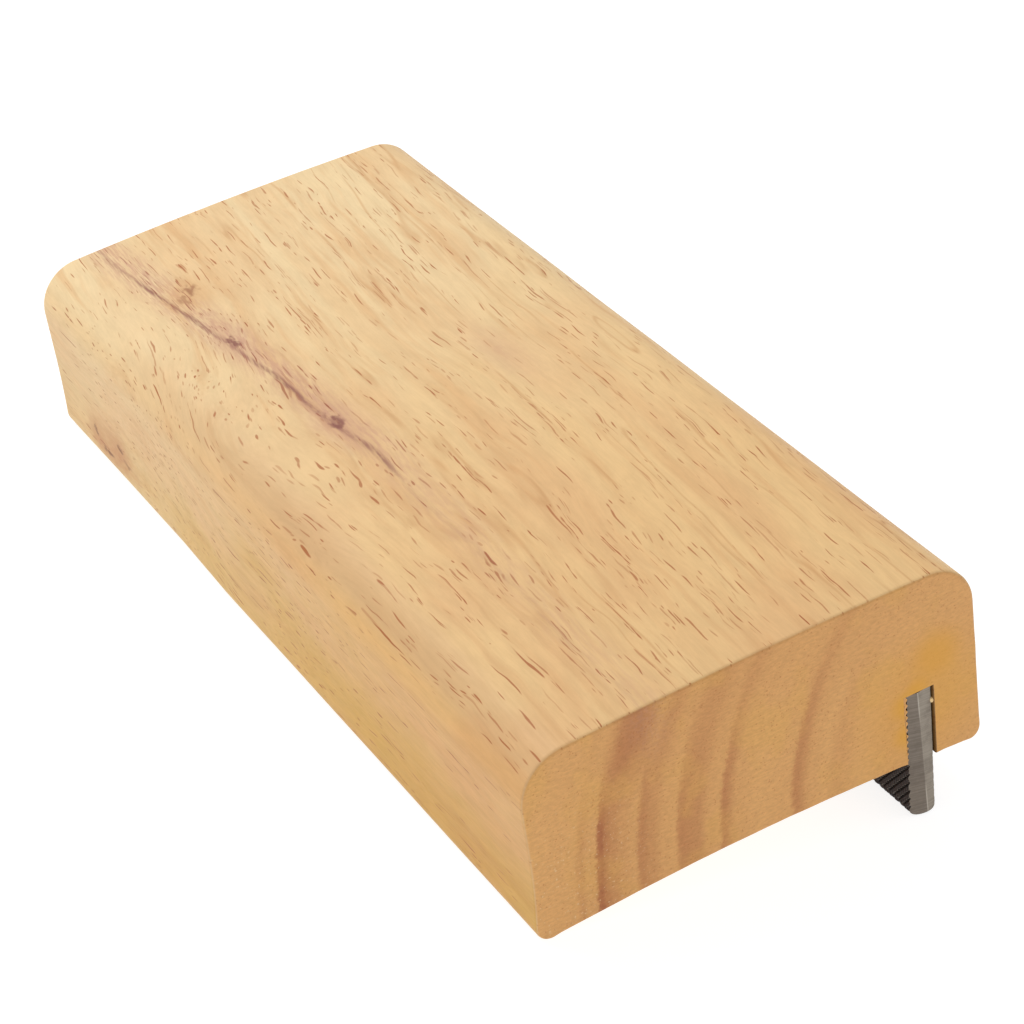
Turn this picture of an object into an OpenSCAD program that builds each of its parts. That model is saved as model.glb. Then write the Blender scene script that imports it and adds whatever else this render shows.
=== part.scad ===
// Wood block edge file: a hand-sized hardwood block whose hollow sole rides on
// the work, with a steel file blade bonded into a lengthwise slot beside it.
// The blade stands square to the sole and dresses the edge of the work.
// Millimetres. +Z is up as the tool lies on a bench, leaning on its left sole
// edge and on the blade's lower edge; +Y runs along the block. The origin is
// the middle of the whole tool's footprint, on the bench.

/* [Wood block] */
// Length of the block and of the blade
block_l = 150; // [80:1:250]
// Width of the block across the sole
block_w = 65; // [55:1:90]
// Height of the block, from its sole edges to the middle of its top
block_h = 27.6; // [24:0.1:40]
// Radius of the slight crown across the top
crown_r = 700; // [400:10:2000]
// Radius of the two rounded long edges on top
shoulder_r = 6.8; // [3:0.1:11]
// Radius of the two eased long edges of the sole
sole_edge_r = 1.2; // [0.6:0.1:2.5]
// Radius of the long hollow in the sole
hollow_r = 400; // [200:10:800]

/* [Slot] */
// Wood left between the slot and the right side
cheek_w = 6.9; // [5:0.1:10]
// Width of the slot
slot_w = 4.4; // [4:0.1:6]
// Depth of the slot above the sole edges
slot_depth = 10.7; // [8:0.1:13]

/* [Blade] */
// Thickness of the file blade
blade_t = 3.7; // [2.8:0.1:3.9]
// How far the blade stands out below the sole edges
blade_drop = 8.8; // [4:0.1:12]
// Radius of the blade's lower edge on the toothed side
toothed_edge_r = 0.9; // [0.3:0.1:1.2]
// Radius of the blade's lower edge on the other side
back_edge_r = 0.5; // [0.2:0.1:1.2]
// How far the two end facets fall back from their ridge
facet_fall = 0.25; // [0.1:0.05:0.5]

/* [Glue] */
// How far the glue stops short of each end of the slot
glue_setback = 3; // [1:0.5:10]
// Depth of the unfilled mouth of the gap beside the blade
glue_recess = 1.5; // [1:0.1:4]

/* [Hidden] */
$fn = 96;

// The section's own axes: x across from the block's middle, y up from the line
// through the two sole edges.
slot_right_x = block_w / 2 - cheek_w;
slot_left_x = slot_right_x - slot_w;
blade_right_x = slot_left_x + blade_t;

// Centres of the rounded corners
sole_edge_x = block_w / 2 - sole_edge_r;
shoulder_x = block_w / 2 - shoulder_r;
shoulder_rise = sqrt(pow(crown_r - shoulder_r, 2) - pow(shoulder_x, 2));
shoulder_z = block_h - crown_r + shoulder_rise;
toothed_edge_x = slot_left_x + toothed_edge_r;
toothed_edge_z = toothed_edge_r - blade_drop;

// Where the crown runs into the shoulders
crown_x = shoulder_x * crown_r / (crown_r - shoulder_r);
crown_z = block_h - crown_r + shoulder_rise * crown_r / (crown_r - shoulder_r);

// The hollow meets the sole at the two eased edges
hollow_centre_z = -sqrt(pow(hollow_r, 2) - pow(sole_edge_x, 2));

// Lean on the bench: the line that touches the left sole edge and the toothed
// side of the blade's lower edge from below
reach_x = toothed_edge_x + sole_edge_x;
reach_z = toothed_edge_z - sole_edge_r;
lean = asin((toothed_edge_r - sole_edge_r) / norm([reach_x, reach_z]))
    - atan2(reach_z, reach_x);

// A section point after leaning by that angle
function leaned_x(x, z) = x * cos(lean) - z * sin(lean);
function leaned_z(x, z) = x * sin(lean) + z * cos(lean);

bench_z = leaned_z(-sole_edge_x, sole_edge_r) - sole_edge_r;
left_x = leaned_x(-shoulder_x, shoulder_z) - shoulder_r;
right_x = leaned_x(sole_edge_x, sole_edge_r) + sole_edge_r;

// Stands a shape drawn in the section's axes on the bench
module on_bench() {
    translate([-(left_x + right_x) / 2, 0, -bench_z])
        rotate([0, -lean, 0])
            children();
}

// Pulls a section out along the block's length
module along_block(length) {
    rotate([90, 0, 0])
        linear_extrude(height = length, center = true)
            children();
}

// Disc at a rounded corner
module corner(x, z, r) {
    translate([x, z])
        circle(r = r);
}

// Block outline before the hollow and the slot are cut
module block_outline() {
    polygon([
        [-sole_edge_x, 0], [sole_edge_x, 0],
        [block_w / 2, sole_edge_r], [block_w / 2, shoulder_z],
        [crown_x, crown_z], [-crown_x, crown_z],
        [-block_w / 2, shoulder_z], [-block_w / 2, sole_edge_r]
    ]);
    intersection() {
        translate([0, block_h - crown_r])
            circle(r = crown_r, $fn = 1440);
        translate([-crown_x, shoulder_z])
            square([2 * crown_x, shoulder_r]);
    }
    for (side = [-1, 1]) {
        corner(side * sole_edge_x, sole_edge_r, sole_edge_r);
        corner(side * shoulder_x, shoulder_z, shoulder_r);
    }
}

module wood_block() {
    color("burlywood")
        on_bench()
            along_block(block_l)
                difference() {
                    block_outline();
                    translate([0, hollow_centre_z])
                        circle(r = hollow_r, $fn = 720);
                    translate([slot_left_x, -sole_edge_r])
                        square([slot_w, slot_depth + sole_edge_r]);
                }
}

// Blade section with its two eased lower edges
module blade_section() {
    back_edge_x = blade_right_x - back_edge_r;
    polygon([
        [toothed_edge_x, -blade_drop], [back_edge_x, -blade_drop],
        [blade_right_x, back_edge_r - blade_drop], [blade_right_x, slot_depth],
        [slot_left_x, slot_depth], [slot_left_x, toothed_edge_z]
    ]);
    corner(toothed_edge_x, toothed_edge_z, toothed_edge_r);
    corner(back_edge_x, back_edge_r - blade_drop, back_edge_r);
}

// Outline of the blade seen from above, with each end ground to two facets
module blade_plan() {
    ridge_x = slot_left_x + blade_t / 2;
    facet_y = block_l / 2 - facet_fall;
    polygon([
        [slot_left_x, -facet_y], [ridge_x, -block_l / 2], [blade_right_x, -facet_y],
        [blade_right_x, facet_y], [ridge_x, block_l / 2], [slot_left_x, facet_y]
    ]);
}

module file_blade() {
    color("dimgray")
        on_bench()
            intersection() {
                along_block(block_l)
                    blade_section();
                translate([0, 0, -blade_drop])
                    linear_extrude(height = blade_drop + slot_depth)
                        blade_plan();
            }
}

// Cured glue in the gap between the blade's back and the slot's right wall
module glue_bead() {
    color("goldenrod")
        on_bench()
            along_block(block_l - 2 * glue_setback)
                translate([blade_right_x, glue_recess])
                    square([slot_w - blade_t, slot_depth - glue_recess]);
}

wood_block();
file_blade();
glue_bead();
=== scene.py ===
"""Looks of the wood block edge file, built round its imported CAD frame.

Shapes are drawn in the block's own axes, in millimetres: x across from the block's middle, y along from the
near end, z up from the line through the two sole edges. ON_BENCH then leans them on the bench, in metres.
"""

import math

import bmesh
import bpy
import numpy as np
from mathutils import Matrix, Vector, noise


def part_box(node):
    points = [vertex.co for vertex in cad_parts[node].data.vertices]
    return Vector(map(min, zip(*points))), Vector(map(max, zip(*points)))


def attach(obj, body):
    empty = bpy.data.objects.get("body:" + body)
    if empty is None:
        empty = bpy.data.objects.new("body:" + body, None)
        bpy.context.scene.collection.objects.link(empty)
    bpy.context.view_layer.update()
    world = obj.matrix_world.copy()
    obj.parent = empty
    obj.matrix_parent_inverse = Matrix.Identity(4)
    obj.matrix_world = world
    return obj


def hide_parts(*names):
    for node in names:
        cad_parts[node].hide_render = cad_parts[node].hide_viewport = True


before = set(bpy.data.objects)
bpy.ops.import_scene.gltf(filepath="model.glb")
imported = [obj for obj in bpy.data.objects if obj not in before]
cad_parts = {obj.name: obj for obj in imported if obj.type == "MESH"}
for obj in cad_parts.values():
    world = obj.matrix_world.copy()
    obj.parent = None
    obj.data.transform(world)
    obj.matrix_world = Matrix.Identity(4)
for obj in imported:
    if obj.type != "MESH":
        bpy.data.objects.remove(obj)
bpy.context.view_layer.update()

# ---------------------------------------------------------------- sizes
MM = 0.001
# Places this close count as the same
NEARLY = 0.01

BLOCK_L = 150.0
BLOCK_W = 65.0
BLOCK_H = 27.6
CROWN_R = 700.0
SHOULDER_R = 6.8
SOLE_EDGE_R = 1.2
HOLLOW_R = 400.0

SLOT_RIGHT = BLOCK_W / 2 - 6.9
SLOT_LEFT = SLOT_RIGHT - 4.4
SLOT_TOP = 10.7

BLADE_RIGHT = SLOT_LEFT + 3.7
BLADE_BOTTOM = -8.8
TOOTHED_EDGE_R = 0.9
FACET_FALL = 0.25

SHOULDER_X = BLOCK_W / 2 - SHOULDER_R
SHOULDER_RISE = math.sqrt((CROWN_R - SHOULDER_R) ** 2 - SHOULDER_X**2)
SHOULDER_Z = BLOCK_H - CROWN_R + SHOULDER_RISE
SOLE_EDGE_X = BLOCK_W / 2 - SOLE_EDGE_R
HOLLOW_Z = -math.sqrt(HOLLOW_R**2 - SOLE_EDGE_X**2)

# The bench line touches the left sole edge and the toothed side's lower edge
REACH_X = SLOT_LEFT + TOOTHED_EDGE_R + SOLE_EDGE_X
REACH_Z = BLADE_BOTTOM + TOOTHED_EDGE_R - SOLE_EDGE_R
LEAN = math.asin((TOOTHED_EDGE_R - SOLE_EDGE_R) / math.hypot(REACH_X, REACH_Z))
LEAN -= math.atan2(REACH_Z, REACH_X)


def bench_matrix():
    """From the block's axes in millimetres to the row frame in metres, set down where the CAD block is."""
    lean = Matrix.Rotation(-LEAN, 4, "Y") @ Matrix.Scale(MM, 4)
    low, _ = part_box("wood_block")
    left = (lean @ Vector((-SHOULDER_X, 0, SHOULDER_Z))).x - SHOULDER_R * MM
    sole = (lean @ Vector((-SOLE_EDGE_X, 0, SOLE_EDGE_R))).z - SOLE_EDGE_R * MM
    return Matrix.Translation((low.x - left, low.y, low.z - sole)) @ lean


ON_BENCH = bench_matrix()


# ---------------------------------------------------------------- mesh helpers
def arc(cx, cz, r, start, end, steps):
    """Points on an arc, angles in degrees, both ends included."""
    angles = [math.radians(start + (end - start) * i / steps) for i in range(steps + 1)]
    return [(cx + r * math.cos(a), cz + r * math.sin(a)) for a in angles]


def line(a, b, spacing):
    """Points along a straight stretch, without its two ends."""
    steps = max(1, round(math.dist(a, b) / spacing))
    return [
        (a[0] + (b[0] - a[0]) * i / steps, a[1] + (b[1] - a[1]) * i / steps)
        for i in range(1, steps)
    ]


def wobble(x, y, z, scale, seed=0.0):
    """Smooth noise from -1 to 1 whose features are about scale millimetres wide."""
    return noise.noise(Vector((x, y, z)) / scale + Vector((seed, seed, seed)))


def new_piece(name, bm, material, replaced=None):
    """Sets a mesh drawn in the block's axes down on the bench as a piece of the root body."""
    mesh = bpy.data.meshes.new(name)
    bm.transform(ON_BENCH)
    bm.normal_update()
    bm.to_mesh(mesh)
    bm.free()
    mesh.materials.append(material)
    piece = bpy.data.objects.new(name, mesh)
    bpy.context.scene.collection.objects.link(piece)
    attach(piece, "root")
    if replaced:
        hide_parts(replaced)
    return piece


# ---------------------------------------------------------------- node helpers
def srgb(red, green, blue):
    """Linear colour of an 8-bit display colour."""
    parts = [c / 255 for c in (red, green, blue)]
    linear = [c / 12.92 if c <= 0.04045 else ((c + 0.055) / 1.055) ** 2.4 for c in parts]
    return (*linear, 1.0)


class Graph:
    """Short names for the shader nodes that the materials use."""

    def __init__(self, name):
        self.material = bpy.data.materials.new(name)
        self.material.use_nodes = True
        self.tree = self.material.node_tree
        self.tree.nodes.clear()

    def node(self, kind, inputs, **settings):
        made = self.tree.nodes.new(kind)
        for key, value in settings.items():
            setattr(made, key, value)
        for key, value in inputs.items():
            if isinstance(value, bpy.types.NodeSocket):
                self.tree.links.new(value, made.inputs[key])
            else:
                made.inputs[key].default_value = value
        return made

    def math(self, operation, a, b=0.0, clamp=False):
        made = self.node("ShaderNodeMath", {0: a, 1: b}, operation=operation, use_clamp=clamp)
        return made.outputs[0]

    def add(self, a, b):
        return self.math("ADD", a, b)

    def times(self, a, b):
        return self.math("MULTIPLY", a, b)

    def minus(self, a, b):
        return self.math("SUBTRACT", a, b)

    def rest(self, share):
        """What a share leaves of 1."""
        return self.math("SUBTRACT", 1.0, share)

    def size(self, value):
        return self.math("ABSOLUTE", value)

    def vector(self, operation, a, b):
        return self.node("ShaderNodeVectorMath", {0: a, 1: b}, operation=operation).outputs[0]

    def smooth(self, value, low, high, to_low=0.0, to_high=1.0):
        """Smooth step of value from low to high."""
        made = self.node(
            "ShaderNodeMapRange",
            {"Value": value, "From Min": low, "From Max": high, "To Min": to_low, "To Max": to_high},
            interpolation_type="SMOOTHSTEP",
        )
        return made.outputs[0]

    def mix(self, share, a, b, blend="MIX"):
        made = self.node(
            "ShaderNodeMix", {0: share, 6: a, 7: b}, data_type="RGBA", blend_type=blend
        )
        return made.outputs[2]

    def noise(self, point, detail=2.0, rough=0.5, distortion=0.0):
        return self.node(
            "ShaderNodeTexNoise",
            {"Vector": point, "Scale": 1.0, "Detail": detail, "Roughness": rough,
             "Distortion": distortion},
        )

    def curve(self, value, stops, bend="B_SPLINE"):
        """A smooth curve along given stops of (value, height), as a grey ramp."""
        low, high = stops[0][0], stops[-1][0]
        place = self.math("DIVIDE", self.minus(value, low), high - low)
        ramp = self.node("ShaderNodeValToRGB", {"Fac": place})
        ramp.color_ramp.interpolation = bend
        points = ramp.color_ramp.elements
        while len(points) < len(stops):
            points.new(0.5)
        for point, (at, height) in zip(points, stops):
            point.position = (at - low) / (high - low)
            point.color = (height, height, height, 1.0)
        return self.node("ShaderNodeSeparateColor", {0: ramp.outputs[0]}).outputs[0]

    def block_point(self):
        """The point on the surface in the block's own axes, in millimetres."""
        place = self.node("ShaderNodeTexCoord", {}).outputs["Object"]
        moved = self.vector("SUBTRACT", place, ON_BENCH.to_translation())
        level = self.node(
            "ShaderNodeVectorRotate",
            {"Vector": moved, "Axis": (0.0, 1.0, 0.0), "Angle": LEAN},
            rotation_type="AXIS_ANGLE",
        ).outputs[0]
        return self.vector("MULTIPLY", level, (1 / MM, 1 / MM, 1 / MM))

    def split(self, point):
        return self.node("ShaderNodeSeparateXYZ", {0: point}).outputs

    def wander(self, point, wide, long, shift, reach):
        """A smooth sideways wandering of the grain, reach millimetres at most."""
        swing = self.noise(self.stretched(point, wide, long, wide, shift), detail=1.0)
        centred = self.vector("SUBTRACT", swing.outputs["Color"], (0.5, 0.5, 0.5))
        return self.vector("MULTIPLY", centred, (2 * reach, 0.0, 2 * reach))

    def scaled(self, vector, share):
        made = self.node("ShaderNodeVectorMath", {0: vector, "Scale": share}, operation="SCALE")
        return made.outputs[0]

    def stretched(self, point, x, y, z, shift=0.0):
        """The point scaled so that a texture's features are x by y by z millimetres."""
        scaled = self.vector("MULTIPLY", point, (1 / x, 1 / y, 1 / z))
        return self.vector("ADD", scaled, (shift, shift * 0.7, shift * 1.3))

    def facing(self, axis, low=0.55, high=0.95):
        """1 where the surface faces along the axis, 0 where it faces across it."""
        normal = self.split(self.node("ShaderNodeNewGeometry", {}).outputs["Normal"])
        return self.smooth(self.size(normal[axis]), low, high)

    def brighten(self, colour, share):
        """The colour times a grey share."""
        grey = self.node("ShaderNodeCombineXYZ", {0: share, 1: share, 2: share}).outputs[0]
        return self.mix(1.0, colour, grey, "MULTIPLY")

    def away_from(self, a, b, place):
        """Distance in the plane of a and b from a place."""
        squares = [
            self.math("POWER", self.size(self.minus(axis, at)), 2.0)
            for axis, at in zip((a, b), place)
        ]
        return self.math("SQRT", self.add(*squares))

    def finish(self, inputs, bump=None, strength=0.3, depth=0.0001):
        """The one shader: a principled surface, with an optional bump height."""
        if bump is not None:
            inputs["Normal"] = self.node(
                "ShaderNodeBump", {"Height": bump, "Strength": strength, "Distance": depth}
            ).outputs[0]
        shader = self.node("ShaderNodeBsdfPrincipled", inputs)
        self.node("ShaderNodeOutputMaterial", {"Surface": shader.outputs[0]})
        return self.material


# ---------------------------------------------------------------- wood
# Where the growth rings' common axis lies, and how dark the wood is by its distance from that axis
RING_AXIS = (48.0, 0.0)
RING_BANDS = [
    (20.0, 0.08), (28.0, 0.15), (34.0, 0.05), (37.6, 0.22), (39.6, 0.06), (41.4, 0.14), (43.7, 0.58),
    (44.7, 0.10), (49.0, 0.04), (52.4, 0.14), (54.3, 0.62), (55.1, 0.10), (56.4, 0.16), (58.2, 0.48),
    (60.5, 0.60), (61.5, 0.10), (63.0, 0.14), (64.8, 0.40), (66.2, 0.60), (67.1, 0.14), (68.8, 0.28),
    (70.3, 0.50), (71.3, 0.72), (71.8, 1.00), (72.3, 0.95), (72.8, 0.16), (73.8, 0.14), (74.8, 0.34),
    (75.8, 0.08), (82.0, 0.04),
]
# The same toward the top of the ends, where the rings are softer
UPPER_BANDS = [
    (20.0, 0.08), (42.0, 0.14), (43.6, 0.45), (45.4, 0.10), (52.4, 0.14), (54.2, 0.50), (55.4, 0.14),
    (57.6, 0.42), (59.6, 0.52), (61.2, 0.14), (62.8, 0.30), (64.3, 0.64), (65.4, 0.36), (66.0, 0.26),
    (67.2, 0.70), (69.2, 1.00), (71.0, 0.86), (72.0, 0.26), (73.4, 0.14), (82.0, 0.04),
]
# How far the grain runs sideways for each millimetre along
GRAIN_SLANT = 0.05
# Courses along the block, as distance along and share: how far the grain bulges out at the left shoulder
SHOULDER_BULGE = [(0, 0.0), (38, 0.0), (62, 0.5), (86, 1.0), (104, 0.6), (124, 0.0), (150, 0.0)]
BULGE_REACH = 7.0
# How shaded the left shoulder is
SHOULDER_SHADE = [(0, 0.3), (20, 1.0), (45, 0.95), (72, 0.8), (95, 0.6), (120, 0.1), (150, 0.0)]
# How far the grain dives beside the knots, so that the vessels come out end on
SHOULDER_DIVE = [(0, 0.0), (84, 0.0), (94, 0.12), (112, 0.95), (122, 1.0), (150, 1.0)]
DIVE_REACH = 7.0
# The mineral streak's course on the top face: distance along, place across
STREAK_COURSE = [(0, -15.5), (66, -14.4), (81, -15.5), (110, -17.7), (130, -20.6), (150, -22.5)]
# Places in the course lie within this width left of the middle
COURSE_SPAN = 30.0
# How strong the streak's dark line and its halo are
STREAK_STRENGTH = [
    (0, 0.10), (60, 0.16), (68, 0.85), (84, 1.0), (100, 0.9), (132, 0.95), (138, 0.5), (150, 0.35),
]
HALO_STRENGTH = [(0, 0.30), (60, 0.35), (72, 0.8), (128, 1.0), (150, 0.9)]
# Knots and flecks: centre, half length along the grain, half width, strength
TOP_KNOTS = [
    ((-15.3, 80.6, 27.3), 2.2, 0.9, 1.0),
    ((-17.4, 110.0, 27.3), 2.1, 0.8, 1.0),
]
BROWN_KNOTS = [
    ((-16.0, 127.8, 27.3), 1.5, 1.1, 0.9),
    ((-17.9, 126.2, 27.3), 1.6, 0.8, 0.6),
]
SIDE_KNOTS = [
    ((-32.5, 127.2, 6.6), 1.1, 0.6, 1.0),
    ((-32.5, 132.3, 3.6), 2.0, 0.5, 1.0),
    ((-32.5, 136.7, 5.5), 0.8, 0.9, 0.9),
    ((-32.5, 125.0, 4.8), 1.5, 0.5, 0.5),
]
SIDE_PATCH = [((-32.5, 130.0, 5.8), 2.1, 1.2, 1.1)]
PINK_PATCH = [((11.0, 81.0, 27.3), 2.6, 0.9, 0.6)]
ORANGE_FLECK = [((-27.0, 119.0, 26.4), 0.9, 0.4, 1.0)]
# Glue stains on the ends: place, outer and inner distance, strength
STAINS = [
    ((24.0, 9.0), 14.0, 3.0, 0.35),
    ((26.3, 15.4), 5.0, 1.0, 0.55),
    ((21.2, 5.0), 3.0, 0.3, 0.7),
    ((21.4, 9.5), 3.2, 0.3, 0.8),
    ((23.2, 11.2), 2.6, 0.3, 0.7),
]
# How far past the slot's outline the brown of its walls reaches
WALL_DEPTH = 0.1
# Layers of vessels: width and length of a cell, radius in cells, share of cells filled, strength, shift
VESSELS = [
    (0.64, 24.0, 0.215, 0.95, 1.0, 3.1),
    (0.80, 46.0, 0.16, 0.85, 0.9, 17.7),
    (0.60, 12.0, 0.21, 0.95, 0.9, 41.3),
    (0.95, 80.0, 0.12, 0.80, 0.8, 63.9),
    (0.70, 34.0, 0.17, 0.90, 0.85, 88.3),
]
# How crowded they are on the left shoulder, by distance along
SHOULDER_CROWD = [(0, 0.0), (34, 0.0), (48, 0.8), (112, 0.6), (122, 0.0), (150, 0.0)]

STRAW_NEAR = srgb(227, 189, 134)
STRAW_FAR = srgb(230, 203, 157)
STRAW_WARM = srgb(221, 176, 124)
SIDE_TINT = (0.93, 0.83, 0.68, 1.0)
FAR_SIDE_TINT = (0.98, 0.92, 0.85, 1.0)
LOW_SIDE_TINT = (0.83, 0.72, 0.38, 1.0)
RING_TAN = srgb(209, 160, 108)
LINE_TAN = srgb(190, 136, 84)
SHADE_TAN = srgb(188, 145, 105)
VESSEL_BROWN = srgb(168, 97, 52)
STREAK_PINK = srgb(196, 148, 122)
STREAK_DARK = srgb(130, 76, 68)
END_STRAW = srgb(221, 167, 104)
END_RING = srgb(168, 99, 62)
END_GOLD = srgb(218, 166, 90)
GLUE_STAIN = srgb(222, 160, 56)
SLOT_BROWN = srgb(104, 68, 36)
FLECK_ORANGE = srgb(226, 150, 52)
KNOT_BROWN = srgb(142, 84, 54)
SIDE_BROWN = srgb(128, 76, 36)
PATCH_TAN = srgb(192, 132, 88)
RED_VESSEL = srgb(150, 84, 62)
PALE_SPECK = srgb(236, 210, 166)

# Knots that look alike: dark middle, pale surround, depth of the middle
KNOT_GROUPS = [
    (TOP_KNOTS, STREAK_DARK, STREAK_PINK, 0.85),
    (BROWN_KNOTS, KNOT_BROWN, RING_TAN, 0.75),
    (SIDE_PATCH, PATCH_TAN, PATCH_TAN, 0.1),
    (SIDE_KNOTS, SIDE_BROWN, PATCH_TAN, 0.9),
    (PINK_PATCH, STREAK_PINK, STREAK_PINK, 0.3),
    (ORANGE_FLECK, FLECK_ORANGE, STRAW_FAR, 0.7),
]


def knot_shadow(g, axes, knots, rough):
    """How deep in a knot a point is, and how deep in the halo round it."""
    core = halo = 0.0
    for centre, long, wide, strength in knots:
        offset = [g.minus(axes[i], centre[i]) for i in range(3)]
        parts = [
            g.math("POWER", g.math("DIVIDE", g.size(offset[i]), size), 2.0)
            for i, size in ((0, wide), (1, long), (2, wide))
        ]
        distance = g.math("SQRT", g.add(g.add(parts[0], parts[1]), parts[2]))
        distance = g.add(distance, g.smooth(rough, 0.3, 0.7, -0.3, 0.6))
        core = g.add(core, g.times(g.smooth(distance, 1.5, 0.4), strength))
        halo = g.add(halo, g.times(g.smooth(distance, 5.5, 0.8), strength))
    return core, halo


def vessels(g, point, crowding):
    """Dark dashes along the grain that come out as dots on the ends."""
    total = 0.0
    for width, length, radius, filled, strength, shift in VESSELS:
        cells = g.node(
            "ShaderNodeTexVoronoi",
            {"Vector": g.stretched(point, width, length, width, shift), "Scale": 1.0},
        )
        dice = g.split(cells.outputs["Color"])
        limit = g.rest(g.times(crowding, filled))
        there = g.math("GREATER_THAN", dice[0], limit)
        reach = g.times(g.add(g.times(dice[1], 0.5), 0.75), radius)
        inside = g.smooth(g.math("DIVIDE", cells.outputs["Distance"], reach), 1.0, 0.55)
        depth = g.smooth(dice[2], 0.1, 1.0, 0.42 * strength, strength)
        total = g.math("MAXIMUM", total, g.times(g.times(there, inside), depth))
    return total


def bent_grain(g, point, raw):
    """The grain slants a little across the block, wanders, and bulges out round the left shoulder."""
    drift = g.wander(point, 30, 70, 5.0, 4.0)
    drift = g.scaled(drift, g.smooth(raw[1], 0.0, 50.0, 0.1, 1.0))
    waver = g.scaled(g.wander(point, 5, 14, 9.0, 0.8), g.smooth(raw[1], 0.0, 12.0, 0.3, 1.0))
    slant = g.times(raw[1], -GRAIN_SLANT)
    bulge = g.times(g.curve(raw[1], SHOULDER_BULGE), g.smooth(raw[0], -6.0, -34.0, 0.0, BULGE_REACH))
    dive = g.times(g.curve(raw[1], SHOULDER_DIVE), g.smooth(raw[0], -15.0, -24.0, 0.0, -DIVE_REACH))
    bent = g.node("ShaderNodeCombineXYZ", {0: g.add(slant, bulge), 2: g.add(dive, g.times(bulge, -0.2))})
    return g.vector("ADD", g.vector("ADD", point, bent.outputs[0]), g.vector("ADD", drift, waver))


def ring_bands(g, point, raw, grain, ends):
    """How dark the growth rings are, first on the long faces, then on the ends."""
    axes = g.split(grain)
    radius = g.away_from(axes[0], axes[2], RING_AXIS)
    grainy = g.noise(g.stretched(point, 0.8, 5.0, 0.8, 30.0), detail=4.0, rough=0.65).outputs[0]
    radius = g.add(radius, g.times(g.minus(grainy, 0.5), 1.7))
    bands = g.curve(radius, RING_BANDS, "EASE")
    lifted = g.times(g.smooth(raw[2], 13.0, 24.0, 0.0, 0.9), ends)
    upper = g.times(g.curve(radius, UPPER_BANDS), lifted)
    return bands, g.add(g.times(bands, g.rest(lifted)), upper)


def long_face_colour(g, raw, grain, bands, clouds, contour, sides):
    """Straw that is paler toward the far end and deeper on the sides, with rings, streaks and fine lines."""
    paler = g.smooth(g.add(raw[1], g.times(g.minus(clouds, 0.5), 90.0)), 20.0, 135.0)
    figure = g.smooth(sides, 0.0, 1.0, 1.0, 0.7)
    warm = g.times(g.smooth(clouds, 0.42, 0.66, 0.0, 0.7), g.rest(g.times(paler, 0.5)))
    base = g.mix(warm, g.mix(paler, STRAW_NEAR, STRAW_FAR), STRAW_WARM)
    base = g.mix(g.times(g.times(bands, 0.4), figure), base, RING_TAN)
    fine_rings = g.noise(g.stretched(grain, 2.6, 55, 2.6, 2.0), detail=3.0, rough=0.6).outputs[0]
    base = g.mix(g.times(g.smooth(fine_rings, 0.5, 0.7, 0.0, 0.42), figure), base, RING_TAN)

    # Broken fine lines on the top
    broken = g.noise(g.stretched(grain, 3, 16, 3, 57.0), detail=2.0).outputs[0]
    lines = g.times(g.smooth(contour, 0.028, 0.0, 0.0, 0.4), g.smooth(broken, 0.42, 0.6))
    base = g.mix(g.times(lines, g.smooth(raw[0], -26.0, -14.0)), base, LINE_TAN)
    mottle = g.noise(g.stretched(grain, 1.6, 7, 1.6, 33.0), detail=4.0, rough=0.7).outputs[0]
    base = g.brighten(base, g.smooth(mottle, 0.3, 0.7, 0.955, 1.035))

    # The sides, deepest low down at the near end, and painted shade on the left shoulder
    low = g.smooth(g.add(raw[2], g.times(g.minus(clouds, 0.5), 26.0)), 20.0, 3.0)
    low = g.times(low, g.rest(g.times(paler, 0.7)))
    tint = g.mix(low, g.mix(paler, SIDE_TINT, FAR_SIDE_TINT), LOW_SIDE_TINT)
    base = g.mix(sides, base, tint, "MULTIPLY")
    shade = g.times(g.curve(raw[1], SHOULDER_SHADE), g.smooth(raw[0], -24.5, -30.0))
    return g.mix(g.times(g.times(shade, g.rest(sides)), 0.5), base, SHADE_TAN)


def end_face_colour(g, point, raw, bands, clouds):
    """The ends show the rings, golden patches and fine rays."""
    depth = g.times(g.smooth(raw[2], 28.0, 3.0, 0.8, 1.0), g.smooth(clouds, 0.35, 0.65, 0.9, 1.0))
    base = g.mix(g.times(bands, depth), END_STRAW, END_RING)
    golden = g.noise(g.stretched(point, 6, 40, 8, 71.0), detail=2.0).outputs[0]
    base = g.mix(g.smooth(golden, 0.48, 0.68, 0.0, 0.4), base, END_GOLD)
    rays = g.noise(g.stretched(point, 0.9, 6.0, 0.28, 14.0), detail=3.0, rough=0.65).outputs[0]
    return g.brighten(base, g.smooth(rays, 0.3, 0.7, 0.92, 1.06))


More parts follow.
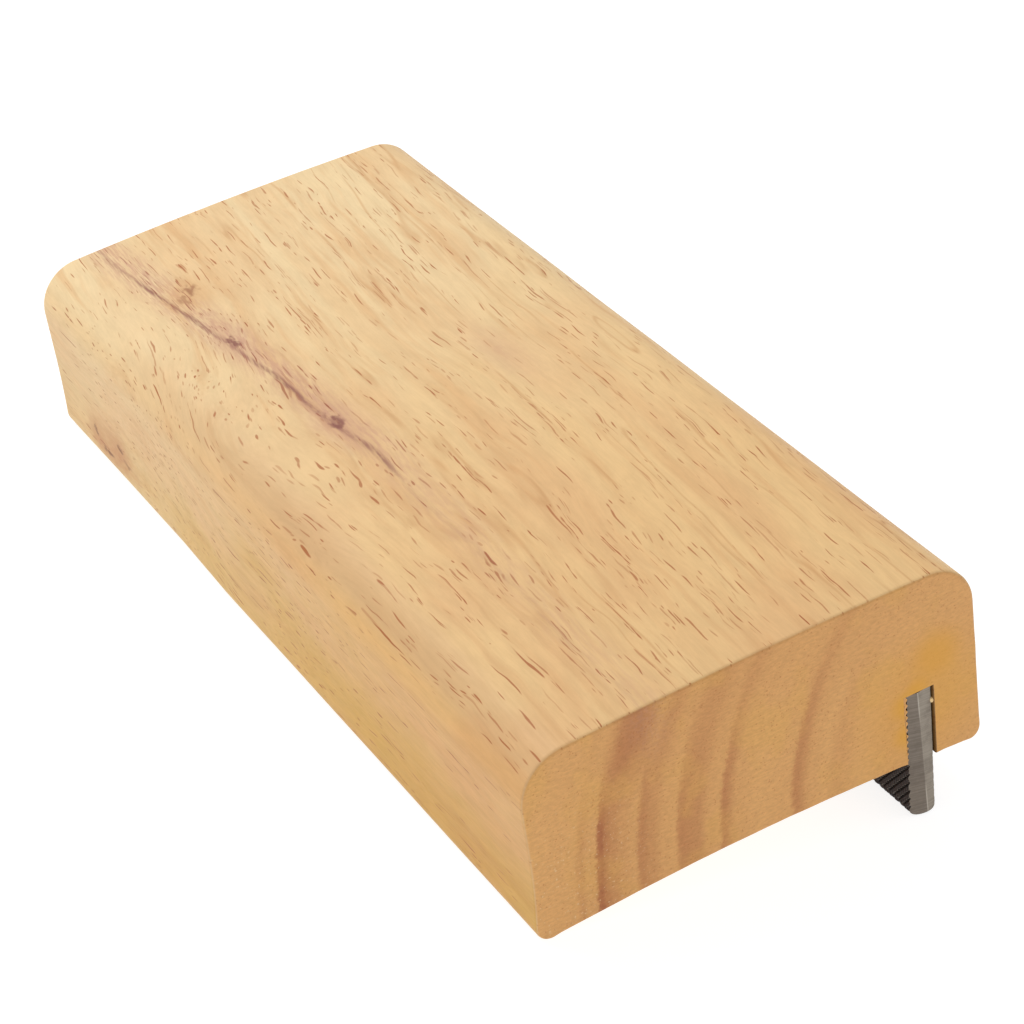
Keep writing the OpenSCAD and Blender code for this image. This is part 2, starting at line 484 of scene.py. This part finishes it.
def add_streak(g, base, point, raw, grain):
    """The mineral streak along the top left: a dark, frayed line in a pink halo. Returns the halo too."""
    course = g.curve(raw[1], [(y, (x + COURSE_SPAN) / COURSE_SPAN) for y, x in STREAK_COURSE])
    centre = g.minus(g.times(course, COURSE_SPAN), COURSE_SPAN)
    shiver = g.noise(g.stretched(point, 9, 14, 9, 8.0), detail=1.0).outputs[0]
    centre = g.add(centre, g.times(g.minus(shiver, 0.5), 1.8))
    aside = g.minus(raw[0], centre)
    near_top = g.smooth(raw[2], 17.0, 25.0)
    frayed = g.noise(g.stretched(grain, 0.4, 4, 0.4, 3.3), detail=3.0, rough=0.6).outputs[0]
    core = g.smooth(g.size(aside), 0.66, 0.05)
    core = g.times(g.times(core, g.curve(raw[1], STREAK_STRENGTH, "EASE")), near_top)
    core = g.times(core, g.smooth(frayed, 0.3, 0.62, 0.3, 1.0))
    halo = g.smooth(g.size(g.minus(aside, 1.0)), 4.8, 0.3)
    halo = g.times(g.times(halo, g.curve(raw[1], HALO_STRENGTH)), near_top)
    base = g.mix(g.times(halo, g.smooth(frayed, 0.4, 0.63, 0.18, 0.78)), base, STREAK_PINK)
    return g.mix(g.times(core, 0.8), base, STREAK_DARK), halo


def add_knots(g, base, point, raw):
    """Knots, a soft pink patch and an orange fleck."""
    rough = g.noise(g.stretched(point, 0.8, 1.6, 0.8, 21.0), detail=2.0).outputs[0]
    for knots, dark, pale, depth in KNOT_GROUPS:
        heart, round_it = knot_shadow(g, raw, knots, rough)
        base = g.mix(g.math("MULTIPLY", round_it, 0.4, clamp=True), base, pale)
        base = g.mix(g.math("MULTIPLY", heart, depth, clamp=True), base, dark)
    return base


def vessel_crowding(g, raw, grain, bands, contour, halo, sides):
    """Vessels are thicker in rings and lines, by the streak and on the left shoulder, fewer on the sides."""
    patches = g.noise(g.stretched(grain, 3.5, 20, 3.5, 12.0), detail=1.5).outputs[0]
    crowding = g.add(g.smooth(patches, 0.38, 0.62, 0.16, 0.85), g.times(bands, 0.45))
    crowding = g.add(crowding, g.smooth(contour, 0.07, 0.01, 0.0, 0.7))
    shoulder = g.times(g.curve(raw[1], SHOULDER_CROWD), g.smooth(raw[0], -19.0, -26.0))
    crowding = g.add(g.add(crowding, shoulder), g.times(halo, 0.6))
    return g.times(crowding, g.smooth(sides, 0.0, 1.0, 1.0, 0.5))


def add_stains(g, base, raw, ends):
    """Glue has soaked into the ends round the slot, and the slot's walls are darker brown."""
    for place, far, near, share in STAINS:
        reach = g.times(g.smooth(g.away_from(raw[0], raw[2], place), far, near), ends)
        base = g.mix(g.times(reach, share), base, GLUE_STAIN)
    across_slot = g.math("COMPARE", raw[0], (SLOT_LEFT + SLOT_RIGHT) / 2)
    across_slot.node.inputs[2].default_value = (SLOT_RIGHT - SLOT_LEFT) / 2 + WALL_DEPTH
    in_slot_height = g.math("LESS_THAN", raw[2], SLOT_TOP + WALL_DEPTH)
    walls = g.times(g.times(across_slot, in_slot_height), g.rest(ends))
    return g.mix(g.times(walls, 0.8), base, SLOT_BROWN)


def wood_material():
    g = Graph("straw_hardwood")
    point = g.block_point()
    raw = g.split(point)
    grain = bent_grain(g, point, raw)
    ends, sides = g.facing(1), g.facing(0, 0.78, 1.0)
    bands, end_bands = ring_bands(g, point, raw, grain, ends)
    fibre = g.noise(g.stretched(grain, 0.3, 6, 0.3, 1.0), detail=2.0, rough=0.6).outputs[0]
    clouds = g.noise(g.stretched(grain, 12, 32, 12, 6.0), detail=2.0).outputs[0]
    contour = g.noise(g.stretched(grain, 4.5, 85, 4.5, 51.0), detail=1.0).outputs[0]
    contour = g.size(g.minus(contour, 0.5))

    long_face = long_face_colour(g, raw, grain, bands, clouds, contour, sides)
    base = g.mix(ends, long_face, end_face_colour(g, point, raw, end_bands, clouds))
    base = g.brighten(base, g.smooth(fibre, 0.3, 0.7, 0.975, 1.02))
    base, halo = add_streak(g, base, point, raw, grain)
    base = add_knots(g, base, point, raw)

    # Vessels, fainter on the ends and redder by the streak
    crowding = vessel_crowding(g, raw, grain, bands, contour, halo, sides)
    shaky = g.vector("ADD", grain, g.wander(point, 2.0, 5, 13.0, 0.42))
    dashes = vessels(g, shaky, crowding)
    shown = g.times(dashes, g.minus(0.92, g.times(ends, 0.46)))
    base = g.mix(shown, base, g.mix(halo, VESSEL_BROWN, RED_VESSEL))

    # Pale specks low on the left of the ends
    specks = g.noise(g.stretched(point, 0.4, 2.0, 0.4, 27.0), detail=1.0).outputs[0]
    zone = g.times(g.smooth(raw[0], -12.0, -24.0), g.smooth(raw[2], 24.0, 6.0))
    base = g.mix(g.times(g.times(g.smooth(specks, 0.64, 0.74), zone), g.times(ends, 0.5)), base, PALE_SPECK)

    base = add_stains(g, base, raw, ends)
    height = g.minus(g.times(fibre, 0.35), g.times(dashes, 0.6))
    return g.finish(
        {"Base Color": base, "Roughness": g.smooth(fibre, 0.3, 0.7, 0.56, 0.46),
         "Specular IOR Level": 0.2},
        bump=height, strength=0.25, depth=0.0001,
    )


# ---------------------------------------------------------------- wood block
# The ends' arrises: radius, the share of it in the slot and at the sole, and the height where it is full
ARRIS_R = 0.45
ARRIS_STEPS = 4
SOLE_SHARE = 0.3
FULL_EASE_Z = 4.0
# Spacing of the rows along the block, unevenness of its faces, and the angle from which an edge is sharp
END_SPACING = 1.5
FACE_WOBBLE = 0.05
SHARP_ANGLE = math.radians(38)
# The block is a little thicker on the blade's side: its top rises and its sole drops by this much
TOP_RISE = 0.6
SOLE_DROP = 0.6
# Where across the block the drop starts and is full, and how far up the sides it fades out
DROP_ACROSS = (-30.0, 14.0)
DROP_HEIGHT = 9.0
# The right sole edge is eased more, and the slot is a little narrower at its mouth than at its floor
RIGHT_EDGE_R = 1.8
MOUTH_PINCH = 0.2
# The left sole edge is rounder and runs a little further out, more so along the near half
LEFT_EDGE_R = 2.3
FAR_FLARE = 0.45
NEAR_FLARE = 0.9
FLARE_ALONG = (106.0, 90.0)
FLARE_ACROSS = (-24.0, -31.0)
FLARE_HEIGHT = 13.0


def block_outline():
    """The block's section, anticlockwise from the left sole edge, with its round stretches as arcs."""
    def sole(x):
        return (x, HOLLOW_Z + math.sqrt(HOLLOW_R**2 - x * x))

    def sole_run(a, b):
        steps = max(2, round((b - a) / 1.0))
        return [sole(a + (b - a) * i / steps) for i in range(1, steps)]

    crown = math.degrees(math.atan2(SHOULDER_RISE, SHOULDER_X))
    left_mouth, right_mouth = sole(SLOT_LEFT), sole(SLOT_RIGHT)
    left_top, right_top = (SLOT_LEFT, SLOT_TOP), (SLOT_RIGHT, SLOT_TOP)
    right_edge_x = BLOCK_W / 2 - RIGHT_EDGE_R
    right_edge = arc(right_edge_x, RIGHT_EDGE_R, RIGHT_EDGE_R, -90, 0, 8)
    right_shoulder = arc(SHOULDER_X, SHOULDER_Z, SHOULDER_R, 0, crown, 16)
    top = arc(0, BLOCK_H - CROWN_R, CROWN_R, crown, 180 - crown, 50)
    left_shoulder = arc(-SHOULDER_X, SHOULDER_Z, SHOULDER_R, 180 - crown, 180, 16)
    left_edge_x = LEFT_EDGE_R - BLOCK_W / 2
    left_edge = arc(left_edge_x, LEFT_EDGE_R, LEFT_EDGE_R, 180, 270, 8)
    return (
        sole_run(left_edge_x, SLOT_LEFT)
        + [left_mouth] + line(left_mouth, left_top, 0.8)
        + [left_top] + line(left_top, right_top, 0.8)
        + [right_top] + line(right_top, right_mouth, 0.8)
        + [right_mouth] + sole_run(SLOT_RIGHT, right_edge_x)
        + right_edge + line(right_edge[-1], right_shoulder[0], 1.0)
        + right_shoulder + top[1:-1] + left_shoulder
        + line(left_shoulder[-1], left_edge[0], 1.0) + left_edge
    )


def inward(points):
    """The mitred inward direction at each point of an anticlockwise outline."""
    p = np.array(points)
    ahead = np.roll(p, -1, 0) - p
    ahead /= np.linalg.norm(ahead, axis=1)[:, None]
    behind = np.roll(ahead, 1, 0)
    n_ahead = np.c_[-ahead[:, 1], ahead[:, 0]]
    n_behind = np.c_[-behind[:, 1], behind[:, 0]]
    return (n_ahead + n_behind) / (1 + (n_ahead * n_behind).sum(1))[:, None]


def in_slot(x, z):
    return SLOT_LEFT - NEARLY <= x <= SLOT_RIGHT + NEARLY and z <= SLOT_TOP + NEARLY


def between(value, start, end):
    """0 up to the start, 1 from the end on, and a straight line between them."""
    return min(max((value - start) / (end - start), 0.0), 1.0)


def departure(x, y, z, slotted):
    """How far a point of the plain section moves across and up to follow the real block."""
    drop = SOLE_DROP * between(x, *DROP_ACROSS) * max(1 - z / DROP_HEIGHT, 0.0)
    if slotted:
        pinch = MOUTH_PINCH * (1 - z / SLOT_TOP) if x > SLOT_RIGHT - NEARLY else 0.0
        return -pinch, -drop
    flare = FAR_FLARE + (NEAR_FLARE - FAR_FLARE) * between(y, *FLARE_ALONG)
    flare *= max(1 - z / FLARE_HEIGHT, 0.0) ** 2 * between(x, *FLARE_ACROSS)
    rise = TOP_RISE * (x / BLOCK_W + 0.5) * max(z, 0.0) / BLOCK_H
    return -flare, rise - drop


def make_block(material):
    outline = np.array(block_outline())
    inset = inward(block_outline())
    slot_part = np.array([in_slot(x, z) for x, z in outline])
    inner = round((BLOCK_L - 2 * ARRIS_R) / END_SPACING)
    rows = [(ARRIS_R * (1 - math.cos(math.radians(90 * i / ARRIS_STEPS))),
             1 - math.sin(math.radians(90 * i / ARRIS_STEPS))) for i in range(ARRIS_STEPS + 1)]
    rows.append((ARRIS_R + 0.15, 0.0))
    body = [(ARRIS_R + (BLOCK_L - 2 * ARRIS_R) * i / inner, 0.0) for i in range(1, inner)]
    rows = rows + body + [(BLOCK_L - y, share) for y, share in reversed(rows)]

    bm = bmesh.new()
    loops = []
    for y, share in rows:
        loop = []
        for (x, z), (nx, nz), slotted in zip(outline, inset, slot_part):
            end = 0.0 if y < BLOCK_L / 2 else BLOCK_L
            height = 0.0 if slotted else between(z, 0.0, FULL_EASE_Z)
            ease = ARRIS_R * (SOLE_SHARE + (1 - SOLE_SHARE) * height)
            push = share * ease * (1 + 0.35 * wobble(x, end, z, 3.0, 4.0))
            if not slotted:
                push += FACE_WOBBLE * (1 + wobble(x, y, z, 22.0, 7.0))
            across, up = departure(x, y, z, slotted)
            loop.append(bm.verts.new((x + nx * push + across, y, z + nz * push + up)))
        loops.append(loop)
    count = len(outline)
    for near, far in zip(loops, loops[1:]):
        for i in range(count):
            j = (i + 1) % count
            face = bm.faces.new((near[j], near[i], far[i], far[j]))
            face.smooth = True
    for loop, flip in ((loops[0], False), (loops[-1], True)):
        face = bm.faces.new(loop[::-1] if flip else loop)
        face.normal_update()
        bmesh.ops.triangulate(bm, faces=[face])
    for edge in bm.edges:
        edge.smooth = edge.calc_face_angle(0.0) < SHARP_ANGLE
    bmesh.ops.recalc_face_normals(bm, faces=bm.faces)
    return new_piece("block", bm, material, "wood_block")


# ---------------------------------------------------------------- blade
# How the blade's two faces lean in the slot, out at the top: shift at the sole, run for each millimetre up
LEFT_LEAN = (-0.04, 0.045)
RIGHT_LEAN = (0.13, 0.026)
# The lower edges are rounded over this width and height, in this many steps
LEFT_EDGE = (2.2, 1.5)
RIGHT_EDGE = (0.6, 0.6)
EDGE_STEPS = 8
# The grinding marks on the ends run down to the right
GRIND_SLANT = 0.16
# The ridge between the two facets of each ground end leans from the slot's floor down to the right
RIDGE_TOP = SLOT_LEFT + 1.58
RIDGE_SLANT = 1.05 / (SLOT_TOP - BLADE_BOTTOM)
RIDGE_FOOT = RIDGE_TOP + RIDGE_SLANT * SLOT_TOP
# The faces are dark; each ground end has a darker left and a lighter right facet, with a painted ridge
# highlight
STEEL_DARK = srgb(33, 24, 23)
STEEL_BROWN = srgb(50, 39, 37)
LEFT_FACET_GREYS = (srgb(113, 104, 94), srgb(127, 117, 107))
RIGHT_FACET_GREYS = (srgb(137, 128, 116), srgb(148, 139, 127))
GROUND_STAIN = srgb(104, 94, 86)
RIDGE_HIGHLIGHT = srgb(196, 188, 176)


def steel_material():
    g = Graph("file_steel")
    point = g.block_point()
    ends = g.facing(1)
    place = g.split(point)
    shift, run = [(a + b) / 2 for a, b in zip(LEFT_LEAN, RIGHT_LEAN)]
    leaning = g.add(g.times(place[2], run), shift)
    tilted = g.node("ShaderNodeCombineXYZ", {2: g.times(place[0], GRIND_SLANT)}).outputs[0]
    tilted = g.vector("ADD", point, tilted)
    grind = g.noise(g.stretched(tilted, 6.0, 6.0, 0.12, 2.0), detail=2.0).outputs[0]
    mottle = g.noise(g.stretched(point, 1.4, 1.4, 1.4, 5.0), detail=3.0).outputs[0]
    dark = g.mix(g.smooth(mottle, 0.35, 0.7), STEEL_DARK, STEEL_BROWN)

    # Each end is ground to two facets: a darker left one and a lighter right one
    from_ridge = g.add(g.times(place[2], RIDGE_SLANT), g.minus(place[0], RIDGE_FOOT))
    from_ridge = g.minus(from_ridge, leaning)
    right = g.smooth(from_ridge, -0.06, 0.06)
    marks = g.smooth(grind, 0.35, 0.65)
    ground = g.mix(right, g.mix(marks, *LEFT_FACET_GREYS), g.mix(marks, *RIGHT_FACET_GREYS))
    ground = g.mix(g.times(g.smooth(mottle, 0.5, 0.75), 0.3), ground, GROUND_STAIN)
    # Painted highlight along the ridge between the facets, stronger toward the ridge's top and bottom
    ridge = g.smooth(g.size(from_ridge), 0.13, 0.02)
    highlight_strength = g.smooth(g.size(g.minus(place[2], 1.0)), 4.5, 6.8, 0.08, 0.5)
    ground = g.mix(g.times(ridge, highlight_strength), ground, RIDGE_HIGHLIGHT)
    base = g.mix(ends, dark, ground)
    return g.finish(
        {"Base Color": base, "Metallic": 1.0,
         "Roughness": g.smooth(mottle, 0.3, 0.7, 0.42, 0.55)},
        bump=grind, strength=0.12, depth=0.00006,
    )


# Two cuts of teeth: angle of the grooves to the blade's length, spacing, depth
FIRST_CUT = (-49.0, 0.85, 0.3)
SECOND_CUT = (70.0, 0.6, 0.16)
# Inside the slot the teeth are filled with glue to all but this share of their depth
UNFILLED = 0.45
# The right side's teeth are shallower
RIGHT_SHARE = 0.15
# One tooth from groove to groove: place, share of the full depth
TOOTH = [(0.0, 1.0), (0.25, 0.12), (0.7, 0.0)]


def tooth_sheet(bm, face_x, inwards, mirror, share):
    """A sheet of double-cut teeth over one face of the blade, larger than the face."""
    along = [math.radians(cut[0] * mirror) for cut in (FIRST_CUT, SECOND_CUT)]
    first, second = [np.array((math.cos(a), math.sin(a))) for a in along]
    sine = abs(first[0] * second[1] - first[1] * second[0])
    step_a = second * FIRST_CUT[1] / sine
    step_b = first * SECOND_CUT[1] / sine
    corner = np.array((-2.0, BLADE_BOTTOM - 2.0))
    span = np.array((BLOCK_L + 4.0, SLOT_TOP - BLADE_BOTTOM + 4.0))
    basis = np.linalg.inv(np.c_[step_a, step_b])
    corners = [basis @ (span * f) for f in ((0, 0), (1, 0), (0, 1), (1, 1))]
    low = np.floor(np.min(corners, 0)).astype(int)
    high = np.ceil(np.max(corners, 0)).astype(int)
    n = len(TOOTH)
    grid = {}

    def vertex(i, j):
        if (i, j) not in grid:
            a, b = i // n + TOOTH[i % n][0], j // n + TOOTH[j % n][0]
            y, z = corner + step_a * a + step_b * b
            if not (-1.6 < y < BLOCK_L + 1.6 and BLADE_BOTTOM - 1.6 < z < SLOT_TOP + 1.6):
                grid[i, j] = None
            else:
                cut = max(TOOTH[i % n][1] * FIRST_CUT[2], TOOTH[j % n][1] * SECOND_CUT[2])
                cut += 0.03 * (1 + wobble(y, z, face_x, 0.9, 3.0))
                cut *= UNFILLED if z > 0 else 1.0
                grid[i, j] = bm.verts.new((face_x + inwards * cut * share, y, z))
        return grid[i, j]

    for i in range(low[0] * n, high[0] * n):
        for j in range(low[1] * n, high[1] * n):
            quad = [vertex(i, j), vertex(i + 1, j), vertex(i + 1, j + 1), vertex(i, j + 1)]
            if all(quad):
                bm.faces.new(quad)


def trim(bm, point, normal):
    """Cuts off everything beyond a plane."""
    parts = bm.verts[:] + bm.edges[:] + bm.faces[:]
    bmesh.ops.bisect_plane(bm, geom=parts, plane_co=point, plane_no=normal, clear_outer=True)


def make_blade(material):
    """One closed body: two toothed faces, rounded lower edges, ends ground to two facets each."""
    bm = bmesh.new()
    sides = {}
    for name, x, inwards, mirror, share, low in (
        ("left", SLOT_LEFT, 1, 1, 1.0, BLADE_BOTTOM + LEFT_EDGE[1]),
        ("right", BLADE_RIGHT, -1, -1, RIGHT_SHARE, BLADE_BOTTOM + RIGHT_EDGE[1]),
    ):
        sheet = bmesh.new()
        tooth_sheet(sheet, x, inwards, mirror, share)
        for point, normal in (
            ((0, FACET_FALL, 0), (0, -1, 0)), ((0, BLOCK_L - FACET_FALL, 0), (0, 1, 0)),
            ((0, 0, low), (0, 0, -1)), ((0, 0, SLOT_TOP), (0, 0, 1)),
        ):
            trim(sheet, point, normal)
        mesh = bpy.data.meshes.new("sheet")
        sheet.to_mesh(mesh)
        sheet.free()
        start = len(bm.verts)
        bm.from_mesh(mesh)
        bpy.data.meshes.remove(mesh)
        bm.verts.ensure_lookup_table()
        sides[name] = (bm.verts[start:], low)

    def chain(verts, axis, value, along):
        found = [v for v in verts if v.is_boundary and abs(v.co[axis] - value) < 1e-4]
        return sorted(found, key=lambda v: v.co[along])

    def on_facet(x, y, z):
        """The place along the blade, moved onto the ground facet where it is at one of the ends."""
        ridge = RIDGE_FOOT - RIDGE_SLANT * z
        face_x = SLOT_LEFT if x < ridge else BLADE_RIGHT
        fall = FACET_FALL * (ridge - x) / (ridge - face_x)
        if y < FACET_FALL + 1e-4:
            return fall
        return BLOCK_L - fall if y > BLOCK_L - FACET_FALL - 1e-4 else y

    def rounding(side, face_x, edge, sign):
        """Rows of the rounded lower edge under a toothed face, down to the flat underside."""
        verts, low = sides[side]
        wide, tall = edge
        row = chain(verts, 2, low, 1)
        rows = [row]
        for k in range(1, EDGE_STEPS + 1):
            angle = math.radians(90 * k / EDGE_STEPS)
            z = low - tall * math.sin(angle)
            new = []
            for v in row:
                x = face_x + sign * wide * (1 - math.cos(angle)) + (v.co.x - face_x) * (1 - k / EDGE_STEPS)
                new.append(bm.verts.new((x, on_facet(x, v.co.y, z), z)))
            rows.append(new)
        for upper, lower in zip(rows, rows[1:]):
            for i in range(len(row) - 1):
                face = bm.faces.new((upper[i], upper[i + 1], lower[i + 1], lower[i]))
                face.smooth = True
        return rows

    left_rows = rounding("left", SLOT_LEFT, LEFT_EDGE, 1)
    right_rows = rounding("right", BLADE_RIGHT, RIGHT_EDGE, -1)

    ridges = {}
    for end in (0.0, BLOCK_L):
        ridges[end] = [
            bm.verts.new((RIDGE_FOOT - RIDGE_SLANT * z, end, z)) for z in (BLADE_BOTTOM, SLOT_TOP)
        ]

    def cap(end, side, rows):
        """One ground facet, from a toothed face's end to the ridge."""
        verts = sides[side][0]
        limit = FACET_FALL if end == 0 else BLOCK_L - FACET_FALL
        column = 0 if end == 0 else -1
        up = chain(verts, 1, limit, 2)
        under = [row[column] for row in rows[1:]]
        bottom, top = ridges[end]
        bm.faces.new([bottom] + under[::-1] + up + [top])

    for end in (0.0, BLOCK_L):
        cap(end, "left", left_rows)
        cap(end, "right", right_rows)
    bm.faces.new(left_rows[-1] + [ridges[BLOCK_L][0]] + right_rows[-1][::-1] + [ridges[0.0][0]])
    top_left = chain(sides["left"][0], 2, SLOT_TOP, 1)
    top_right = chain(sides["right"][0], 2, SLOT_TOP, 1)
    bm.faces.new(top_left + [ridges[BLOCK_L][1]] + top_right[::-1] + [ridges[0.0][1]])
    flat = [f for f in bm.faces if len(f.verts) > 4]
    for face in flat:
        face.normal_update()
    bmesh.ops.triangulate(bm, faces=flat)
    bmesh.ops.recalc_face_normals(bm, faces=bm.faces)
    for v in bm.verts:
        share = (v.co.x - SLOT_LEFT) / (BLADE_RIGHT - SLOT_LEFT)
        shift, run = [a + (b - a) * share for a, b in zip(LEFT_LEAN, RIGHT_LEAN)]
        v.co.x += shift + run * v.co.z
    return new_piece("blade", bm, material, "file_blade")


# ---------------------------------------------------------------- glue
# The bead starts this far from the ends and this far up, with a hollow, uneven lower face
GLUE_START = 3.0
GLUE_BOTTOM = 1.5
GLUE_HOLLOW = 0.35
GLUE_WOBBLE = 0.3
BEAD_STEPS = 160
BEAD_STEPS_ACROSS = 5
# The crumb sits in the gap's mouth at the near end
CRUMB_PLACE = Vector((SLOT_RIGHT - 0.22, 0.5, 8.3))
CRUMB_SIZE = Vector((0.3, 0.4, 0.45))
# The film laps a little over the blade's edge, with a notch at each tooth, and stops short of the ends
FILM_STEPS = 120
FILM_LAP = 0.14
FILM_NOTCH = 0.13
FILM_PITCH = 0.95
FILM_START = 0.14
FILM_SLOPE = 0.05
THINNEST_FILM = 0.02
GLUE_DARK = srgb(150, 104, 48)
GLUE_LIGHT = srgb(196, 150, 84)
CRUMB_PALE = srgb(240, 206, 146)
FILM_GOLD = srgb(214, 152, 72)


def glue_material():
    g = Graph("cured_glue")
    point = g.block_point()
    cloud = g.noise(g.stretched(point, 1.2, 5.0, 1.2, 4.0), detail=3.0).outputs[0]
    bead = g.mix(g.smooth(cloud, 0.35, 0.7), GLUE_DARK, GLUE_LIGHT)
    place = g.split(point)
    near = g.math("LESS_THAN", place[1], GLUE_START / 2)
    crumb = g.times(near, g.math("GREATER_THAN", place[0], (SLOT_LEFT + SLOT_RIGHT) / 2))
    film = g.math("LESS_THAN", place[0], (SLOT_LEFT + BLADE_RIGHT) / 2)
    base = g.mix(film, g.mix(crumb, bead, CRUMB_PALE), FILM_GOLD)
    return g.finish(
        {"Base Color": base, "Roughness": g.smooth(cloud, 0.3, 0.7, 0.25, 0.4)},
        bump=cloud, strength=0.3, depth=0.0001,
    )


def make_glue(material):
    """The bead in the gap beside the blade, with a hollow, uneven lower face."""
    bm = bmesh.new()
    left, right = BLADE_RIGHT, SLOT_RIGHT
    loops = []
    for i in range(BEAD_STEPS + 1):
        y = GLUE_START + (BLOCK_L - 2 * GLUE_START) * i / BEAD_STEPS
        loop = [bm.verts.new((left, y, SLOT_TOP)), bm.verts.new((right, y, SLOT_TOP))]
        for k in range(BEAD_STEPS_ACROSS + 1):
            share = 1 - k / BEAD_STEPS_ACROSS
            x = left + (right - left) * share
            dip = GLUE_HOLLOW * (1 - (2 * share - 1) ** 2)
            z = GLUE_BOTTOM + dip + GLUE_WOBBLE * wobble(x, y, 0, 4.0, 2.0)
            loop.append(bm.verts.new((x, y, z)))
        loops.append(loop)
    for near, far in zip(loops, loops[1:]):
        for i in range(len(near)):
            j = (i + 1) % len(near)
            bm.faces.new((near[i], near[j], far[j], far[i])).smooth = 1 < i < len(near) - 1
    bm.faces.new(loops[0])
    bm.faces.new(loops[-1][::-1])
    bmesh.ops.recalc_face_normals(bm, faces=bm.faces)
    return new_piece("glue", bm, material, "glue_bead")


def make_crumb(material):
    """A dried crumb of glue in the mouth of the gap at the near end."""
    bm = bmesh.new()
    bmesh.ops.create_icosphere(bm, subdivisions=4, radius=1.0)
    for v in bm.verts:
        x, y, z = v.co
        swell = 1 + 0.28 * wobble(x, y, z, 0.8, 6.0) + 0.1 * wobble(x, y, z, 0.3, 1.0)
        v.co = Vector((x, y, z)) * CRUMB_SIZE * swell + CRUMB_PLACE
    for face in bm.faces:
        face.smooth = True
    return new_piece("glue_crumb", bm, material)


def make_film(material):
    """A dried film of glue in the gap at the left of the blade, notched where it meets the teeth."""
    bm = bmesh.new()
    rows = []
    for i in range(FILM_STEPS + 1):
        z = SLOT_TOP * i / FILM_STEPS
        front = FILM_START + 0.1 * wobble(0, 0, z, 0.7, 9.0)
        notch = FILM_NOTCH * (1 + math.sin(math.tau * z / FILM_PITCH + wobble(0, 0, z, 2.0, 5.0)))
        width = max(LEFT_LEAN[0] + LEFT_LEAN[1] * z + FILM_LAP - notch, THINNEST_FILM)
        corners = (
            (0, BLOCK_L - front), (0, front),
            (width, front + FILM_SLOPE), (width, BLOCK_L - front - FILM_SLOPE),
        )
        rows.append([bm.verts.new((SLOT_LEFT + x, y, z)) for x, y in corners])
    for low, high in zip(rows, rows[1:]):
        for i in range(4):
            j = (i + 1) % 4
            bm.faces.new((low[i], low[j], high[j], high[i]))
    bm.faces.new(rows[0][::-1])
    bm.faces.new(rows[-1])
    bmesh.ops.recalc_face_normals(bm, faces=bm.faces)
    return new_piece("glue_film", bm, material)


# ---------------------------------------------------------------- stage
def make_floor():
    g = Graph("floor_white")
    material = g.finish({"Base Color": (0.3, 0.3, 0.3, 1.0), "Roughness": 0.9,
                         "Specular IOR Level": 0.1,
                         "Emission Color": (1.0, 1.0, 1.0, 1.0), "Emission Strength": 0.86})
    bpy.ops.mesh.primitive_plane_add(size=6.0)
    floor = bpy.context.object
    floor.name = "floor"
    floor.data.materials.append(material)


# One soft light above the far end
LIGHT_PLACE = (-0.18, 0.35, 0.62)
LIGHT_AIM = (0, 0, 0.02)
LIGHT_SIZE = 0.4
LIGHT_POWER = 3.0


def make_light(name, place, target, size, power):
    data = bpy.data.lights.new(name, "AREA")
    data.shape = "DISK"
    data.size = size
    data.energy = power
    light = bpy.data.objects.new(name, data)
    light.location = place
    light.rotation_euler = (Vector(target) - Vector(place)).to_track_quat("-Z", "Y").to_euler()
    bpy.context.scene.collection.objects.link(light)


def make_world():
    world = bpy.data.worlds.new("studio")
    world.use_nodes = True
    sky = world.node_tree.nodes["Background"]
    sky.inputs["Color"].default_value = (1.0, 1.0, 1.0, 1.0)
    sky.inputs["Strength"].default_value = 0.6
    bpy.context.scene.world = world
    bpy.context.scene.view_settings.view_transform = "Standard"


# The camera stands near the left front corner, above the block
CAMERA_PLACE = Vector((-0.17987, -0.32948, 0.22835))
CAMERA_AIM = Vector((0.00329, -0.00655, 0.0160))
CAMERA_ROLL = math.radians(0.87)
CAMERA_LENS = 107.98


def make_camera():
    data = bpy.data.cameras.new("camera")
    data.lens = CAMERA_LENS
    data.sensor_width = 36.0
    data.clip_start = 0.01
    camera = bpy.data.objects.new("camera", data)
    turn = (CAMERA_AIM - CAMERA_PLACE).to_track_quat("-Z", "Y").to_matrix().to_4x4()
    camera.matrix_world = (
        Matrix.Translation(CAMERA_PLACE) @ turn @ Matrix.Rotation(CAMERA_ROLL, 4, "Z")
    )
    bpy.context.scene.collection.objects.link(camera)
    bpy.context.scene.camera = camera


# ---------------------------------------------------------------- scene
make_block(wood_material())
make_blade(steel_material())
glue = glue_material()
make_glue(glue)
make_crumb(glue)
make_film(glue)
make_floor()
make_light("key", LIGHT_PLACE, LIGHT_AIM, LIGHT_SIZE, LIGHT_POWER)
make_world()
make_camera()
